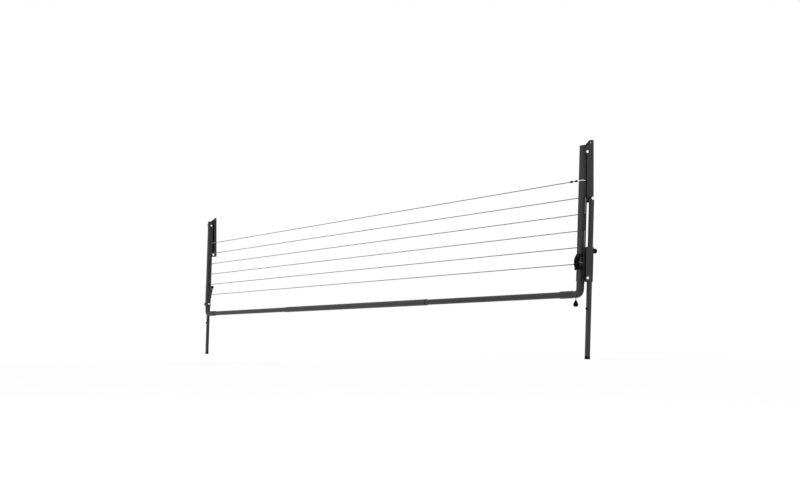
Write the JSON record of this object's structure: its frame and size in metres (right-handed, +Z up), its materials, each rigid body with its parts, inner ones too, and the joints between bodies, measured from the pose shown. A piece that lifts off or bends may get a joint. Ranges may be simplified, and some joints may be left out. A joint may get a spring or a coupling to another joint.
{
  "type": "wall mounted fold down drying rack",
  "caption": "Fold-down clothes drying rack for a wall: hinged arms, telescopic front bar, taut clothesline and sliding locking braces.",
  "frame": {"origin": "middle of the four wall screw holes, on the wall plane behind the brackets' flanges", "axes": "+X along the wall towards the cord lock, +Y into the wall, +Z up"},
  "size_m": [2.7692, 0.0578, 0.6525],
  "materials": {
    "charcoal_paint": "fine textured charcoal powder coat, low sheen",
    "black_plastic": "moulded black, satin",
    "bright_steel": "bright plated",
    "zinc_steel": "dull zinc",
    "nylon": "black nylon",
    "cord": "smooth vinyl skin over a twisted core"
  },
  "bodies": {
    "brackets": {"right_wall_bracket": "charcoal_paint", "left_wall_bracket": "charcoal_paint", "arm_pivot_bolts": "bright_steel", "arm_pivot_nuts": "bright_steel", "arm_pivot_washers": "nylon", "brace_pivot_bolts": "bright_steel", "brace_pivot_nuts": "bright_steel", "brace_pivot_spacers": "nylon"},
    "swing_frame": {"right_arm": "charcoal_paint", "left_arm": "charcoal_paint", "right_arm_top_cap": "black_plastic", "left_arm_top_cap": "black_plastic", "right_elbow": "charcoal_paint", "left_elbow": "charcoal_paint", "right_inner_tube": "charcoal_paint", "left_inner_tube": "charcoal_paint", "right_outer_tube": "charcoal_paint", "left_outer_tube": "charcoal_paint", "bar_joiner": "charcoal_paint", "snap_buttons": "bright_steel", "carriage_pivot_nuts": "bright_steel", "right_line_grommets": "black_plastic", "left_line_grommets": "black_plastic", "clothesline": "cord", "line_ferrules": "black_plastic", "line_hook": "bright_steel", "cord_lock_body": "black_plastic", "cord_lock_pin": "bright_steel", "tail_grommet": "black_plastic"},
    "cord_lock_lever": {"cord_lock_cam": "black_plastic"},
    "cord_tail": {"tail_cord": "cord", "tail_knob": "black_plastic"},
    "right_brace_arm": {"right_brace": "charcoal_paint", "right_brace_end_cap": "black_plastic", "right_lock_bush": "black_plastic"},
    "right_slider": {"right_carriage": "charcoal_paint", "right_carriage_pivot_bolt": "bright_steel", "right_carriage_pivot_spacer": "nylon", "right_lock_barrel": "zinc_steel", "right_lock_spring": "bright_steel"},
    "right_plunger": {"right_lock_pin": "bright_steel", "right_lock_knob": "black_plastic"},
    "left_brace_arm": {"left_brace": "charcoal_paint", "left_brace_end_cap": "black_plastic", "left_lock_bush": "black_plastic"},
    "left_slider": {"left_carriage": "charcoal_paint", "left_carriage_pivot_bolt": "bright_steel", "left_carriage_pivot_spacer": "nylon", "left_lock_barrel": "zinc_steel", "left_lock_spring": "bright_steel"},
    "left_plunger": {"left_lock_pin": "bright_steel", "left_lock_knob": "black_plastic"}
  },
  "joints": [
    {"name": "fold", "type": "hinge", "parent": "brackets", "child": "swing_frame", "pos_m": [0, -0.0274, 0.047], "axis": [-1, 0, 0], "range_deg": [0, 88]},
    {"name": "right_brace_fold", "type": "hinge", "parent": "brackets", "child": "right_brace_arm", "pos_m": [0, -0.0186, -0.0921], "axis": [-1, 0, 0], "range_deg": [0, 106.02]},
    {"name": "right_carriage_slide", "type": "slide", "parent": "right_brace_arm", "child": "right_slider", "axis": [0, -0.0349, -0.9994], "range_m": [0, 0.17173]},
    {"name": "right_knob_pull", "type": "slide", "parent": "right_slider", "child": "right_plunger", "axis": [0, 0.9994, -0.0349], "range_m": [-0.0026, 0.0012], "stiffness_N_per_m": 600, "deforming": ["right_lock_spring"]},
    {"name": "left_brace_fold", "type": "hinge", "parent": "brackets", "child": "left_brace_arm", "pos_m": [0, -0.0186, -0.0921], "axis": [-1, 0, 0], "range_deg": [0, 106.02]},
    {"name": "left_carriage_slide", "type": "slide", "parent": "left_brace_arm", "child": "left_slider", "axis": [0, -0.0349, -0.9994], "range_m": [0, 0.17173]},
    {"name": "left_knob_pull", "type": "slide", "parent": "left_slider", "child": "left_plunger", "axis": [0, 0.9994, -0.0349], "range_m": [-0.0026, 0.0012], "stiffness_N_per_m": 600, "deforming": ["left_lock_spring"]},
    {"name": "tail_swing", "type": "hinge", "parent": "swing_frame", "child": "cord_tail", "pos_m": [1.3318, -0.04255, -0.38693], "axis": [1, 0, 0], "range_deg": [-75, 75]},
    {"name": "cord_lock_open", "type": "hinge", "parent": "swing_frame", "child": "cord_lock_lever", "pos_m": [1.345, -0.05518, -0.28423], "axis": [-1, 0, 0], "range_deg": [0, 75]}
  ],
  "couplings": [
    {"joint": "right_brace_fold", "follows": "fold", "ratio": 1.2047},
    {"joint": "right_carriage_slide", "follows": "fold", "m_per_rad": 0.11181},
    {"joint": "left_brace_fold", "follows": "fold", "ratio": 1.2047},
    {"joint": "left_carriage_slide", "follows": "fold", "m_per_rad": 0.11181}
  ]
}
